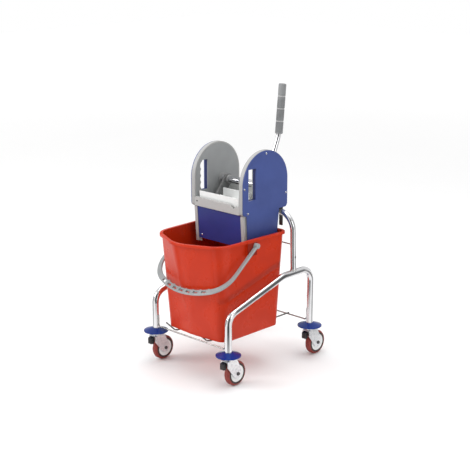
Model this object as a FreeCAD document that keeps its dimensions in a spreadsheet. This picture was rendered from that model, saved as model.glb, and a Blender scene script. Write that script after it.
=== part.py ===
import FreeCAD, Part
import math
import os
import re

import Sketcher

# A single-bucket mop trolley: a chromed tube frame on four swivel castors, a red bucket with a
# bail handle, and a jaw wringer with a hand lever that hangs on the frame's rear hoop.
# Millimetres. +X is the trolley's right side, +Y its rear, +Z up; the floor is z = 0 and the
# origin lies midway between the castor stems.

V = FreeCAD.Vector
X_AXIS = V(1, 0, 0)
Y_AXIS = V(0, 1, 0)
Z_AXIS = V(0, 0, 1)

# Every driving dimension, by name. Places are in the trolley's own frame.
SIZES = {
    # side tubes: front leg, rising rail, level rail, rear leg
    "leg_x": 165, "stem_y": 193, "tube_r": 11, "tube_bore_r": 9.5, "leg_foot_z": 100.2,
    "front_knee_z": 230, "rail_knee_y": 59, "rail_z": 305,
    "front_bend": 40, "rail_bend": 110, "rear_bend": 42,
    # rear hoop on the level rails
    "hoop_y": 108, "hoop_r": 9.75, "hoop_bore_r": 8.25, "hoop_foot_x": 165, "hoop_top_x": 160,
    "hoop_top_z": 500, "hoop_bend": 58, "hoop_hole_z": 359, "hoop_hole_r": 3.25,
    "hoop_wire_z": 399, "hoop_wire_r": 2,
    # base wires and the two bucket rests that lie on them
    "wire_r": 2.5, "base_wire_z": 121.5, "wire_end_x": 151.55, "wire_end_z": 161, "wire_bend": 9,
    "rest_z": 126.4, "rest_x": 73, "rest_front_y": -191, "hook_back_x": 76, "hook_back_y": 30,
    "hook_bend": 9,
    # bumper disc and castor socket on each leg's foot
    "disc_r": 40, "disc_foot_z": 98.4, "disc_rim_low": 103.5, "disc_rim_high": 106.5,
    "disc_dome_r": 22, "disc_dome_z": 112.5, "disc_neck_r": 14, "disc_top_z": 115,
    "socket_r": 9.4, "socket_top_z": 150, "stem_hole_r": 6.08,
    # castor, measured from its own stem axis
    "stem_r": 6, "stem_top_z": 147, "head_r": 15, "head_foot_z": 90.2, "head_top_z": 98,
    "trail": 29, "wheel_r": 40, "tyre_half": 11, "rim_r": 27.5, "hub_half": 11.4,
    "axle_r": 4, "axle_hole_r": 4.06, "boss_r": 9,
    "fork_half": 14.6, "fork_gap_half": 12.2, "fork_top_z": 90, "fork_roof_z": 86,
    "fork_front_y": -18, "fork_rear_y": 24, "fork_end_y": 43, "fork_end_z": 26,
    "buffer_half": 8, "buffer_depth": 11, "buffer_foot_z": 65, "buffer_top_z": 88,
    # bucket
    "bucket_foot_z": 129.3, "bucket_rim_z": 447, "bucket_wall": 3, "bucket_floor": 4,
    "rim_wide": 7, "rim_drop": 8, "rim_sheet": 2.4, "rim_edge_r": 2,
    # bucket plans at the base and the brim: half widths, places along Y and corner radii
    "base_rear_x": 128, "base_front_x": 128, "base_rear_y": 85, "base_front_y": -176,
    "base_nose_y": -186, "base_rear_round": 28, "base_front_round": 30, "base_nose_round": 220,
    "brim_rear_x": 146.5, "brim_front_x": 139, "brim_rear_y": 90, "brim_front_y": -197,
    "brim_nose_y": -259.8, "brim_rear_round": 22, "brim_front_round": 64, "brim_nose_round": 100,
    "ear_y": -58, "ear_z": 428, "ear_front": 32, "ear_rear": 9, "ear_x": 150.6, "ear_deep": 14,
    "ear_foot_z": 397, "ear_pin_r": 4, "pin_play": 0.08,
    # bail handle, in its own plane
    "bail_leg_x": 157.8, "bail_reach": 224, "bail_arm_half": 6.5, "bail_crown_half": 9.5,
    "bail_thick": 7, "bail_slope": 24, "bail_crown_r": 254, "bail_corner_r": 85,
    "bail_edge_r": 2.2, "bail_tilt": 38.5, "bail_eye_r": 8.5,
    "slot_pitch": 29.3, "slot_half": 9, "slot_rise": 3.9, "tooth_r": 5, "tooth_in": 2,
    # wringer side plates and covers
    "plate_x": 98, "plate_deep": 14, "web": 3, "rim": 3.6, "shoulder_r": 12,
    "arch_y": 27.5, "arch_z": 608, "arch_r": 103.5, "shoulder_z": 514,
    "low_front_y": -59.5, "foot_front_y": -52.5, "low_rear_y": 92.5, "foot_rear_y": 80.5,
    "foot_z": 405,
    "slot_front_y": -41, "slot_rear_y": -17, "slot_foot_z": 562, "slot_top_z": 660,
    "finger_y": -34.5, "finger_r": 16, "finger_pitch": 21.5,
    "cover_x": 112.3, "cover_thick": 3, "cover_inset": 0.8, "liner_front_y": -51.2,
    "rivet_boss_r": 5, "rivet_r": 1.5, "rivet_head_r": 3.4, "rivet_crown_r": 2.4,
    "rivet_head_high": 1.4, "rivet_long": 11, "rivet_play": 0.03,
    # front frame, front panel and jaws
    "bar_half": 97.7, "bar_front_y": -76, "bar_thick": 5, "bar_foot_z": 518, "bar_top_z": 546,
    "notch_x": 72, "notch_half": 16, "notch_z": 534,
    "post_in_x": 96, "post_out_x": 108, "strip_x": 88,
    "post_front_y": -68, "post_lean": 7, "post_deep": 8, "post_foot_z": 397, "strip_deep": 3,
    "cheek_y": -62,
    "panel_half": 95.6, "panel_y": -66.4, "panel_thick": 3, "panel_top_z": 513.5,
    "panel_foot_z": 409,
    "jaw_half": 86.5, "jaw_y": -62.7, "jaw_thick": 3.5, "jaw_top_z": 566, "jaw_foot_z": 410,
    "jaw_rib": 5, "rib_half": 1.6, "drain_hole_r": 3, "drain_foot_z": 436, "drain_pitch": 24,
    "rear_panel_y": 76, "rear_panel_thick": 3, "rear_panel_top_z": 575,
    "floor_z": 408, "floor_thick": 3, "floor_margin": 12, "drain_slot": 6,
    "floor_play": 0.5, "floor_front_y": -50, "floor_rear_y": 75.5,
    "hook_x": 97, "hook_half": 6.5, "hook_y": 119.6, "hook_thick": 4, "hook_tab_z": 450,
    "hook_top_z": 511.4, "hook_in_y": 101,
    # press: shaft, crank arms, rod, moving jaw and lever, all turning together
    "shaft_y": 52, "shaft_z": 588, "shaft_r": 12, "shaft_bore_r": 9.5, "shaft_half": 104,
    "bush_r": 14, "bush_bore_r": 12.06, "bush_flange_r": 18, "bush_flange_x": 96.3,
    "rod_y": 6, "rod_z": 534, "rod_r": 5, "rod_half": 78.5,
    "arm_x": 70, "arm_thick": 8, "arm_boss_r": 17, "arm_eye_r": 10.5, "arm_neck": 13,
    "arm_neck_low": 9.75,
    "press_half": 68, "press_tilt": 31.8, "press_front": 11, "press_thick": 4.5,
    "press_up": 14, "press_down": 112, "press_rib": 5, "knuckle_half": 9, "knuckle_long": 24,
    "jaw_head_y": 7, "jaw_head_thick": 4, "jaw_head_foot_z": -6, "jaw_head_top_z": 33,
    "jaw_head_half": 58,
    "lever_x": 87.5, "lever_r": 8, "lever_bore_r": 6.5, "lever_bend_y": 117,
    "lever_bend_z": 742, "lever_top_y": 133, "lever_top_z": 902, "lever_bend": 70,
    "grip_r": 12.5, "grip_waist_r": 11.2, "grip_long": 158, "grip_ring": 4, "grip_fit": 0.05,
}

RIVETS = (("30", "701"), ("-69", "601"), ("124", "561"), ("-53", "521"), ("70", "430"))

doc = FreeCAD.newDocument("mop_bucket_trolley")
sheet = doc.addObject("Spreadsheet::Sheet", "Sizes")
for row, (word, value) in enumerate(SIZES.items(), start=1):
    sheet.set(f"A{row}", word)
    sheet.set(f"B{row}", str(value))
    sheet.setAlias(f"B{row}", word)
doc.recompute()

NODES = []


# ---------------------------------------------------------------- sheet helpers

def size(word):
    """The sheet's value for one named dimension."""
    return float(getattr(sheet, word))


def number(text):
    """Value of a sum of named sizes and plain numbers, such as 'leg_x - 2 * tube_r'."""
    total = 0.0
    for sign, term in re.findall(r"([+-]?)\s*([^+-]+)", text):
        product = 1.0
        for factor in term.split("*"):
            word = factor.strip()
            product *= size(word) if word in SIZES else float(word)
        total += -product if sign == "-" else product
    return total


def bind(thing, prop, text):
    """Ties a property to the sheet; the text is a sum of named sizes and plain numbers."""
    named = re.sub(r"[a-z]\w*", lambda found: "Sizes." + found.group(), text)
    thing.setExpression(prop, named)


def place(thing, x="0", y="0", z="0", rotation=None):
    """Puts an object at sheet-bound coordinates, turned by an optional rotation."""
    if rotation:
        thing.Placement = FreeCAD.Placement(V(0, 0, 0), rotation)
    for axis, text in (("x", x), ("y", y), ("z", z)):
        bind(thing, f"Placement.Base.{axis}", text)


# ---------------------------------------------------------------- PartDesign helpers

def new_body(label):
    made = doc.addObject("PartDesign::Body", label)
    made.Label = label
    NODES.append(made)
    return made


def new_sketch(body, plane, height="0"):
    """A sketch on one of the body's origin planes, moved along that plane's normal."""
    sketch = body.newObject("Sketcher::SketchObject", f"{body.Label}_sketch")
    flat = next(item for item in body.Origin.OriginFeatures if item.Role == plane)
    sketch.AttachmentSupport = [(flat, "")]
    sketch.MapMode = "FlatFace"
    bind(sketch, "AttachmentOffset.Base.z", height)
    return sketch


def pin_point(sketch, shape, point, across, up):
    """Fixes a point of the sketch at sheet-bound coordinates."""
    for kind, text in (("DistanceX", across), ("DistanceY", up)):
        index = sketch.addConstraint(Sketcher.Constraint(kind, -1, 1, shape, point, number(text)))
        bind(sketch, f"Constraints[{index}]", text)


def outline(sketch, corners):
    """Adds a closed loop of straight edges through sheet-bound corners."""
    first = sketch.GeometryCount
    count = len(corners)
    spots = [V(number(across), number(up), 0) for across, up in corners]
    for index in range(count):
        edge = Part.LineSegment(spots[index], spots[(index + 1) % count])
        sketch.addGeometry(edge, False)
    for index in range(count):
        following = first + (index + 1) % count
        sketch.addConstraint(Sketcher.Constraint("Coincident", first + index, 2, following, 1))
    for index, (across, up) in enumerate(corners):
        pin_point(sketch, first + index, 1, across, up)


def circle(sketch, across, up, radius):
    """Adds a circle whose centre and radius are bound to the sheet."""
    centre = V(number(across), number(up), 0)
    shape = sketch.addGeometry(Part.Circle(centre, Z_AXIS, number(radius)), False)
    pin_point(sketch, shape, 3, across, up)
    index = sketch.addConstraint(Sketcher.Constraint("Radius", shape, number(radius)))
    bind(sketch, f"Constraints[{index}]", radius)


def pad(body, sketch, length, along=True):
    """Pads a sketch along its normal, or against it."""
    made = body.newObject("PartDesign::Pad", f"{body.Label}_pad")
    made.Profile = sketch
    made.Reversed = not along
    bind(made, "Length", length)
    doc.recompute()
    return made


def cut(body, sketch, length, along=True):
    """Pockets a sketch along its normal, or against it, and checks that it removed material."""
    before = body.Shape.Volume
    made = body.newObject("PartDesign::Pocket", f"{body.Label}_pocket")
    made.Profile = sketch
    made.Reversed = along
    bind(made, "Length", length)
    doc.recompute()
    if body.Shape.Volume > before - 0.01:
        raise ValueError(f"{body.Label}: {made.Name} cut nothing")
    return made


def round_corners(body, radius, corners, direction=X_AXIS):
    """Fillets the edges that run along a direction through the given (y, z) or (x, y) places."""
    base = body.Tip
    spots = [(number(across), number(up)) for across, up in corners]
    names = []
    for index, edge in enumerate(base.Shape.Edges, start=1):
        run = edge.Vertexes[-1].Point - edge.Vertexes[0].Point
        if len(edge.Vertexes) < 2 or run.cross(direction).Length > 1e-6:
            continue
        middle = edge.CenterOfMass
        here = (middle.y, middle.z) if direction == X_AXIS else (middle.x, middle.y)
        if any(abs(here[0] - a) + abs(here[1] - b) < 0.01 for a, b in spots):
            names.append(f"Edge{index}")
    made = body.newObject("PartDesign::Fillet", f"{body.Label}_fillet")
    made.Base = (base, names)
    bind(made, "Radius", radius)
    doc.recompute()


def turned(label, profile):
    """A body revolved about its own Z axis from (radius, height) corners."""
    body = new_body(label)
    sketch = new_sketch(body, "XZ_Plane")
    outline(sketch, profile)
    spin = body.newObject("PartDesign::Revolution", f"{label}_turn")
    spin.Profile = sketch
    spin.ReferenceAxis = (sketch, ["V_Axis"])
    spin.Angle = 360
    doc.recompute()
    return body


def slab(label, profile, length, along=True):
    """A body padded along X from a (y, z) profile; its sketch lies in the body's x = 0 plane."""
    body = new_body(label)
    sketch = new_sketch(body, "YZ_Plane")
    outline(sketch, profile)
    pad(body, sketch, length, along)
    return body


# ---------------------------------------------------------------- Part helpers

def feature(label, shape):
    """Stores a ready shape as a sub-part of its own."""
    made = doc.addObject("Part::Feature", label)
    made.Label = label
    made.Shape = shape
    NODES.append(made)
    return made


def cylinder(name, radius, height, start, axis=Z_AXIS):
    """A sheet-bound Part cylinder that starts at a point and runs along an axis."""
    made = doc.addObject("Part::Cylinder", name)
    bind(made, "Radius", radius)
    bind(made, "Height", height)
    place(made, *start, rotation=FreeCAD.Rotation(Z_AXIS, axis))
    return made


def rounded_path(points, bends, closed=False):
    """Straight runs joined by tangent arcs; bends holds one radius for each corner."""
    count = len(points)
    corners = range(count) if closed else range(1, count - 1)
    arcs = {}
    for corner, bend in zip(corners, bends):
        here = points[corner]
        back = (points[corner - 1] - here).normalize()
        ahead = (points[(corner + 1) % count] - here).normalize()
        half_turn = (math.pi - back.getAngle(ahead)) / 2
        reach = bend * math.tan(half_turn)
        middle = (back + ahead).normalize() * (bend / math.cos(half_turn) - bend)
        arcs[corner] = (here + back * reach, here + middle, here + ahead * reach)
    edges = []
    for index in range(count if closed else count - 1):
        following = (index + 1) % count
        start = arcs[index][2] if index in arcs else points[index]
        end = arcs[following][0] if following in arcs else points[following]
        if start.distanceToPoint(end) > 1e-4:
            edges.append(Part.LineSegment(start, end).toShape())
        if following in arcs:
            edges.append(Part.Arc(*arcs[following]).toShape())
    return edges


def bar_along(points, bends, radius):
    """A round bar along straight runs and arcs."""
    path = Part.Wire(rounded_path(points, bends))
    start = (points[1] - points[0]).normalize()
    ring = Part.Wire(Part.makeCircle(radius, points[0], start))
    return path.makePipeShell([ring], True, False)


def tube_along(points, bends, radius, bore):
    return bar_along(points, bends, radius).cut(bar_along(points, bends, bore))


def box(low, high):
    """A block between two opposite corners."""
    corner = V(*low)
    span = V(*high) - corner
    return Part.makeBox(span.x, span.y, span.z, corner)


def both_sides(shape):
    """A shape and its mirror image across the trolley's middle plane."""
    return [shape, shape.mirror(V(0, 0, 0), X_AXIS)]


# ---------------------------------------------------------------- trolley frame

def side_tube_shape(x):
    stem_y = size("stem_y")
    foot = size("leg_foot_z")
    rail_z = size("rail_z")
    points = [V(x, -stem_y, foot), V(x, -stem_y, size("front_knee_z")),
              V(x, size("rail_knee_y"), rail_z), V(x, stem_y, rail_z), V(x, stem_y, foot)]
    bends = [size("front_bend"), size("rail_bend"), size("rear_bend")]
    return points, bends


def make_side_tubes():
    for side, x in (("left", -size("leg_x")), ("right", size("leg_x"))):
        points, bends = side_tube_shape(x)
        feature(f"side_tube_{side}", tube_along(points, bends, size("tube_r"), size("tube_bore_r")))


def hoop_points():
    y = size("hoop_y")
    foot_x = size("hoop_foot_x")
    top_x = size("hoop_top_x")
    rail_z = size("rail_z")
    top_z = size("hoop_top_z")
    return [V(foot_x, y, rail_z), V(top_x, y, top_z), V(-top_x, y, top_z), V(-foot_x, y, rail_z)]


def make_hoop():
    """The hoop's feet are coped to sit on the level rails; a hole crosses the right leg."""
    bends = [size("hoop_bend")] * 2
    points = hoop_points()
    hoop = tube_along(points, bends, size("hoop_r"), size("hoop_bore_r"))
    reach = size("stem_y")
    for x in (-size("leg_x"), size("leg_x")):
        hoop = hoop.cut(Part.makeCylinder(size("tube_r"), reach, V(x, 0, size("rail_z")), Y_AXIS))
    start = V(size("hoop_top_x") - size("hoop_bend"), size("hoop_y"), size("hoop_hole_z"))
    hoop = hoop.cut(Part.makeCylinder(size("hoop_hole_r"), reach, start, X_AXIS))
    feature("hoop_tube", hoop)


def make_hoop_wire():
    share = (size("hoop_wire_z") - size("rail_z")) / (size("hoop_top_z") - size("rail_z"))
    leg_x = size("hoop_foot_x") + share * (size("hoop_top_x") - size("hoop_foot_x"))
    half = leg_x - size("hoop_r") + 0.05
    wire = cylinder("hoop_wire", "hoop_wire_r", str(2 * half),
                    (str(-half), "hoop_y", "hoop_wire_z"), X_AXIS)
    wire.Label = "hoop_wire"
    NODES.append(wire)


def make_base_wires():
    """Cross wires whose ends turn up along the inside of the legs."""
    end_x = size("wire_end_x")
    end_z = size("wire_end_z")
    low_z = size("base_wire_z")
    for name, y in (("front_wire", -size("stem_y")), ("rear_wire", size("stem_y"))):
        points = [V(-end_x, y, end_z), V(-end_x, y, low_z), V(end_x, y, low_z), V(end_x, y, end_z)]
        feature(name, bar_along(points, [size("wire_bend")] * 2, size("wire_r")))


def make_bucket_rests():
    """Two long wires on the cross wires; each front end turns back as an open hook."""
    z = size("rest_z")
    rests = []
    for shift in (0, -2 * size("rest_x")):
        x = size("rest_x") + shift
        points = [V(x, size("stem_y"), z), V(x, size("rest_front_y"), z),
                  V(x - size("hook_back_x"), size("rest_front_y") + size("hook_back_y"), z)]
        rests.append(bar_along(points, [size("hook_bend")], size("wire_r")))
    feature("bucket_rests", Part.makeCompound(rests))


CORNERS = {"front_left": ("-leg_x", "-stem_y"), "front_right": ("leg_x", "-stem_y"),
           "rear_left": ("-leg_x", "stem_y"), "rear_right": ("leg_x", "stem_y")}


def make_bumper_discs():
    for corner, (x, y) in CORNERS.items():
        disc = turned(f"bumper_disc_{corner}", (
            ("stem_hole_r", "disc_foot_z"), ("disc_neck_r", "disc_foot_z"),
            ("disc_r", "disc_rim_low"), ("disc_r", "disc_rim_high"),
            ("disc_dome_r", "disc_dome_z"), ("disc_neck_r", "disc_top_z"),
            ("tube_r + 0.1", "disc_top_z"), ("tube_r + 0.1", "leg_foot_z - 0.1"),
            ("stem_hole_r", "leg_foot_z - 0.1")))
        place(disc, x, y)


def make_sockets():
    """Plastic inserts in the feet of the legs, which hold the castor stems."""
    sleeves = []
    height = size("socket_top_z") - size("leg_foot_z")
    for x in (-size("leg_x"), size("leg_x")):
        for y in (-size("stem_y"), size("stem_y")):
            foot = V(x, y, size("leg_foot_z"))
            sleeve = Part.makeCylinder(size("socket_r"), height, foot)
            sleeves.append(sleeve.cut(Part.makeCylinder(size("stem_hole_r"), height, foot)))
    feature("castor_sockets", Part.makeCompound(sleeves))


# ---------------------------------------------------------------- castors

def make_stem(corner, x, y):
    stem = turned(f"castor_stem_{corner}", (
        ("0", "head_foot_z"), ("head_r", "head_foot_z"), ("head_r", "head_foot_z + 5"),
        ("stem_r + 4", "head_top_z"), ("stem_r", "head_top_z"), ("stem_r", "stem_top_z - 2"),
        ("stem_r - 2", "stem_top_z"), ("0", "stem_top_z")))
    place(stem, x, y)


def make_fork(corner, x, y):
    """A bent steel fork: a roof and two cheeks that narrow to the axle."""
    fork = new_body(f"fork_{corner}")
    side = new_sketch(fork, "YZ_Plane", "-fork_half")
    outline(side, (("fork_front_y", "fork_top_z"), ("fork_rear_y", "fork_top_z"),
                   ("fork_end_y", "wheel_r + 12"), ("fork_end_y", "fork_end_z"),
                   ("trail - 13", "fork_end_z"), ("fork_front_y", "fork_top_z - 18")))
    pad(fork, side, "2 * fork_half")
    round_corners(fork, "11", (("fork_end_y", "fork_end_z"), ("trail - 13", "fork_end_z")))
    gap = new_sketch(fork, "XZ_Plane", "-2 * fork_end_y")
    outline(gap, (("-fork_gap_half", "0"), ("fork_gap_half", "0"),
                  ("fork_gap_half", "fork_roof_z"), ("-fork_gap_half", "fork_roof_z")))
    cut(fork, gap, "4 * fork_end_y")
    axle = new_sketch(fork, "YZ_Plane", "-2 * fork_half")
    circle(axle, "trail", "wheel_r", "axle_hole_r")
    cut(fork, axle, "4 * fork_half")
    place(fork, x, y)


def make_buffer(corner, x, y):
    buffer = slab(f"fork_buffer_{corner}", (
        ("fork_front_y - 0.1", "buffer_foot_z"), ("fork_front_y - 0.1", "buffer_top_z"),
        ("fork_front_y - buffer_depth", "buffer_top_z - 4"),
        ("fork_front_y - buffer_depth", "buffer_foot_z")), "2 * buffer_half")
    place(buffer, f"{x} - buffer_half", y)


WHEEL_TURN = FreeCAD.Rotation(Y_AXIS, 90)


def make_hub(corner, x, y):
    hub = turned(f"wheel_hub_{corner}", (
        ("axle_hole_r", "-hub_half"), ("boss_r", "-hub_half"), ("boss_r + 2", "-tyre_half + 1"),
        ("rim_r - 4", "-tyre_half + 2"), ("rim_r", "-tyre_half + 0.6"),
        ("rim_r", "tyre_half - 0.6"), ("rim_r - 4", "tyre_half - 2"),
        ("boss_r + 2", "tyre_half - 1"), ("boss_r", "hub_half"), ("axle_hole_r", "hub_half")))
    place(hub, x, f"{y} + trail", "wheel_r", WHEEL_TURN)


def make_tyre(corner, x, y):
    tyre = turned(f"tyre_{corner}", (
        ("rim_r + 0.1", "-tyre_half + 0.5"), ("wheel_r - 8", "-tyre_half"),
        ("wheel_r - 2.5", "-tyre_half + 1.6"), ("wheel_r", "-tyre_half + 5.5"),
        ("wheel_r", "tyre_half - 5.5"), ("wheel_r - 2.5", "tyre_half - 1.6"),
        ("wheel_r - 8", "tyre_half"), ("rim_r + 0.1", "tyre_half - 0.5")))
    place(tyre, x, f"{y} + trail", "wheel_r", WHEEL_TURN)


def make_axle(corner, x, y):
    """Axle bolt with its head on the outside of one cheek and its nut on the other."""
    axle = turned(f"axle_bolt_{corner}", (
        ("0", "-fork_half - 5"), ("6", "-fork_half - 5"), ("6.5", "-fork_half - 0.1"),
        ("axle_r", "-fork_half - 0.1"), ("axle_r", "fork_half + 0.1"),
        ("6", "fork_half + 0.1"), ("5", "fork_half + 3"), ("0", "fork_half + 3")))
    place(axle, x, f"{y} + trail", "wheel_r", WHEEL_TURN)


def make_castors():
    for corner, (x, y) in CORNERS.items():
        make_stem(corner, x, y)
        make_fork(corner, x, y)
        make_buffer(corner, x, y)
        make_hub(corner, x, y)
        make_tyre(corner, x, y)
        make_axle(corner, x, y)


# ---------------------------------------------------------------- bucket and bail

# How far the bail's pins reach into the ears, and how level an edge is to count as flat.
PIN_IN = 9
FLAT = 0.001
# The share of the outward growth by which the slanting front shoulders move forward.
SHOULDER_SHARE = 0.7

PLAN_WORDS = ("rear_x", "front_x", "rear_y", "front_y", "nose_y", "rear_round", "front_round",
              "nose_round")


def bucket_plan(level):
    """The bucket's outline sizes at the base or at the brim."""
    return {word: size(f"{level}_{word}") for word in PLAN_WORDS}


def bucket_outline(plan, z, grow=0.0):
    """Closed outline with two rear corners, two front shoulders and a nose, grown outward."""
    rear_x = plan["rear_x"] + grow
    front_x = plan["front_x"] + grow
    rear_y = plan["rear_y"] + grow
    front_y = plan["front_y"] - grow * SHOULDER_SHARE
    nose_y = plan["nose_y"] - grow
    points = [V(-rear_x, rear_y, z), V(rear_x, rear_y, z), V(front_x, front_y, z),
              V(0, nose_y, z), V(-front_x, front_y, z)]
    bends = [plan["rear_round"] + grow] * 2
    bends += [plan["front_round"] + grow, plan["nose_round"] + grow, plan["front_round"] + grow]
    return Part.Wire(rounded_path(points, bends, closed=True))


def between(low, high, share):
    """A plan part of the way from one bucket plan to another."""
    return {word: low[word] + (high[word] - low[word]) * share for word in low}


def bucket_solid(low_z, grow):
    """The tapering solid from a height up to the rim, grown by an offset all round."""
    foot_z = size("bucket_foot_z")
    rim_z = size("bucket_rim_z")
    brim = bucket_plan("brim")
    low_plan = between(bucket_plan("base"), brim, (low_z - foot_z) / (rim_z - foot_z))
    wires = [bucket_outline(low_plan, low_z, grow), bucket_outline(brim, rim_z, grow)]
    return Part.makeLoft(wires, True, True)


def make_bucket():
    """Tapered shell with a rolled rim and two ears that carry the bail's pins."""
    foot_z = size("bucket_foot_z")
    rim_z = size("bucket_rim_z")
    hollow = bucket_solid(foot_z + size("bucket_floor"), -size("bucket_wall"))
    shell = bucket_solid(foot_z, 0)
    drop = V(0, 0, size("rim_drop"))
    brim = bucket_plan("brim")
    rim_face = Part.Face(bucket_outline(brim, rim_z - drop.z, size("rim_wide")))
    skirt_face = Part.Face(bucket_outline(brim, rim_z - drop.z,
                                          size("rim_wide") - size("rim_sheet")))
    under = skirt_face.extrude(drop - V(0, 0, size("rim_sheet")))
    rim = rim_face.extrude(drop)
    brow = [edge for edge in rim.Edges if edge.BoundBox.ZMin > rim_z - FLAT]
    rim = rim.makeFillet(size("rim_edge_r"), brow).cut(under)
    ear = box((size("ear_x") - size("ear_deep"), size("ear_y") - size("ear_front"),
               size("ear_foot_z")),
              (size("ear_x"), size("ear_y") + size("ear_rear"), rim_z - size("rim_sheet")))
    whole = shell.fuse([rim] + both_sides(ear)).cut(hollow)
    pin_hole = Part.makeCylinder(size("ear_pin_r") + size("pin_play"), 2 * size("leg_x"),
                                 V(-size("leg_x"), size("ear_y"), size("ear_z")), X_AXIS)
    core = bucket_solid(foot_z, CUT_OVER - size("bucket_wall"))
    whole = whole.cut(pin_hole.cut(core))
    feature("bucket", whole.removeSplitter())


def bail_edge(arm_grow, crown_grow):
    """One edge of the bow in its own plane: legs, rounded corners and a long crown arc."""
    slope = math.radians(size("bail_slope"))
    leg = size("bail_leg_x") + arm_grow
    reach = size("bail_reach") + crown_grow
    crown_r = size("bail_crown_r") + crown_grow
    crown_x = crown_r * math.tan(slope / 2) + CROWN_FLAT
    corner = reach - (leg - crown_x) * math.tan(slope)
    half = [V(leg, 0, 0), V(leg, -corner, 0), V(crown_x, -reach, 0)]
    bends = [size("bail_corner_r") + arm_grow, crown_r]
    return rounded_path(half + [V(-p.x, p.y, 0) for p in reversed(half)], bends + bends[::-1])


# The slots in the grip, the flat at the middle of the crown and how far a cut runs past a face.
BAIL_SLOTS = 7
CROWN_FLAT = 0.5
CUT_OVER = 1


def make_bail():
    """A flat plastic bow with finger slots and teeth in its grip, and a pin at each end."""
    thick = size("bail_thick")
    arm = size("bail_arm_half")
    wide = size("bail_crown_half")
    leg = size("bail_leg_x")
    ends = [Part.makeLine(V(x - arm, 0, 0), V(x + arm, 0, 0)) for x in (leg, -leg)]
    edges = bail_edge(arm, wide) + bail_edge(-arm, -wide) + ends
    face = Part.Face(Part.Wire(Part.__sortEdges__(edges)))
    bow = face.extrude(V(0, 0, thick))
    long_edges = [edge for edge in bow.Edges
                  if abs(edge.Vertexes[0].Z - edge.Vertexes[-1].Z) < FLAT and edge.Length > 3 * arm]
    bow = bow.makeFillet(size("bail_edge_r"), long_edges)
    crown_r = size("bail_crown_r")
    crown = V(0, crown_r - size("bail_reach"), 0)
    slots = []
    teeth = []
    for index in range(BAIL_SLOTS):
        x = (index - (BAIL_SLOTS - 1) / 2) * size("slot_pitch")
        turn = math.degrees(math.asin(x / crown_r))
        slot = box((-size("slot_half"), -crown_r - size("slot_rise"), -CUT_OVER),
                   (size("slot_half"), -crown_r + size("slot_rise"), thick + CUT_OVER))
        tooth_foot = V(size("slot_pitch") / 2, wide - crown_r - size("tooth_in"), size("bail_edge_r"))
        tooth = Part.makeCylinder(size("tooth_r"), thick - 2 * size("bail_edge_r"), tooth_foot)
        for shape in (slot, tooth):
            shape.rotate(V(0, 0, 0), Z_AXIS, turn)
            shape.translate(crown)
        slots.append(slot)
        teeth.append(tooth)
    eye = Part.makeCylinder(size("bail_eye_r"), 2 * arm, V(leg - arm, 0, thick / 2), X_AXIS)
    pin_start = size("ear_x") - PIN_IN
    pin = Part.makeCylinder(size("ear_pin_r"), leg - pin_start, V(pin_start, 0, thick / 2), X_AXIS)
    bow = bow.fuse(both_sides(eye) + both_sides(pin) + teeth).cut(slots)
    bail = feature("bail", bow.removeSplitter())
    tilt = FreeCAD.Rotation(X_AXIS, size("bail_tilt"))
    middle = tilt.multVec(V(0, 0, -thick / 2))
    bail.Placement = FreeCAD.Placement(V(0, size("ear_y"), size("ear_z")) + middle, tilt)


# ---------------------------------------------------------------- wringer: plates and covers

def arch_corners(inset):
    """Straight-edged part of the side outline in (y, z), moved inward by an inset text."""
    front = f"arch_y - arch_r + {inset}"
    rear = f"arch_y + arch_r - {inset}"
    low = f"shoulder_z + {inset}"
    return ((front, "arch_z"), (front, low), (f"low_front_y + {inset}", low),
            (f"foot_front_y + {inset}", f"foot_z + {inset}"),
            (f"foot_rear_y - {inset}", f"foot_z + {inset}"),
            (f"low_rear_y - {inset}", low), (rear, low), (rear, "arch_z"))


def arched_pad(body, inset, length, outward):
    side = new_sketch(body, "YZ_Plane")
    outline(side, arch_corners(inset))
    pad(body, side, length, outward)
    top = new_sketch(body, "YZ_Plane")
    circle(top, "arch_y", "arch_z", f"arch_r - {inset}")
    pad(body, top, length, outward)
    low = f"shoulder_z + {inset}"
    outer = ((f"arch_y - arch_r + {inset}", low), (f"arch_y + arch_r - {inset}", low))
    round_corners(body, "shoulder_r", outer)


def make_plate(side, outward):
    """Grey side plate: a thin web inside a deep rim, with a carry slot cut for four fingers."""
    sign = "" if outward else "-"
    plate = new_body(f"side_plate_{side}")
    arched_pad(plate, "0", "plate_deep", outward)
    hollow = new_sketch(plate, "YZ_Plane", f"{sign}web")
    outline(hollow, arch_corners("rim"))
    cut(plate, hollow, "plate_deep", outward)
    crown = new_sketch(plate, "YZ_Plane", f"{sign}web")
    circle(crown, "arch_y", "arch_z", "arch_r - rim")
    cut(plate, crown, "plate_deep", outward)
    for y, z in RIVETS:
        boss = new_sketch(plate, "YZ_Plane")
        circle(boss, y, z, "rivet_boss_r")
        pad(plate, boss, "plate_deep", outward)
        hole = new_sketch(plate, "YZ_Plane", f"{sign}plate_deep")
        circle(hole, y, z, "rivet_r")
        cut(plate, hole, "plate_deep - web", not outward)
    slot = new_sketch(plate, "YZ_Plane")
    outline(slot, (("slot_front_y", "slot_foot_z"), ("slot_rear_y", "slot_foot_z"),
                   ("slot_rear_y", "slot_top_z"), ("slot_front_y", "slot_top_z")))
    cut(plate, slot, "web", outward)
    finger = new_sketch(plate, "YZ_Plane")
    circle(finger, "finger_y", "slot_foot_z + finger_r", "finger_r")
    scoop = cut(plate, finger, "web", outward)
    row = plate.newObject("PartDesign::LinearPattern", f"{plate.Label}_fingers")
    row.Originals = [scoop]
    row.Direction = (finger, ["V_Axis"])
    bind(row, "Length", "3 * finger_pitch")
    row.Occurrences = 4
    plate.Tip = row
    doc.recompute()
    shaft = new_sketch(plate, "YZ_Plane")
    circle(shaft, "shaft_y", "shaft_z", "bush_r + 0.05")
    cut(plate, shaft, "web", outward)
    place(plate, f"{sign}plate_x")


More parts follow.
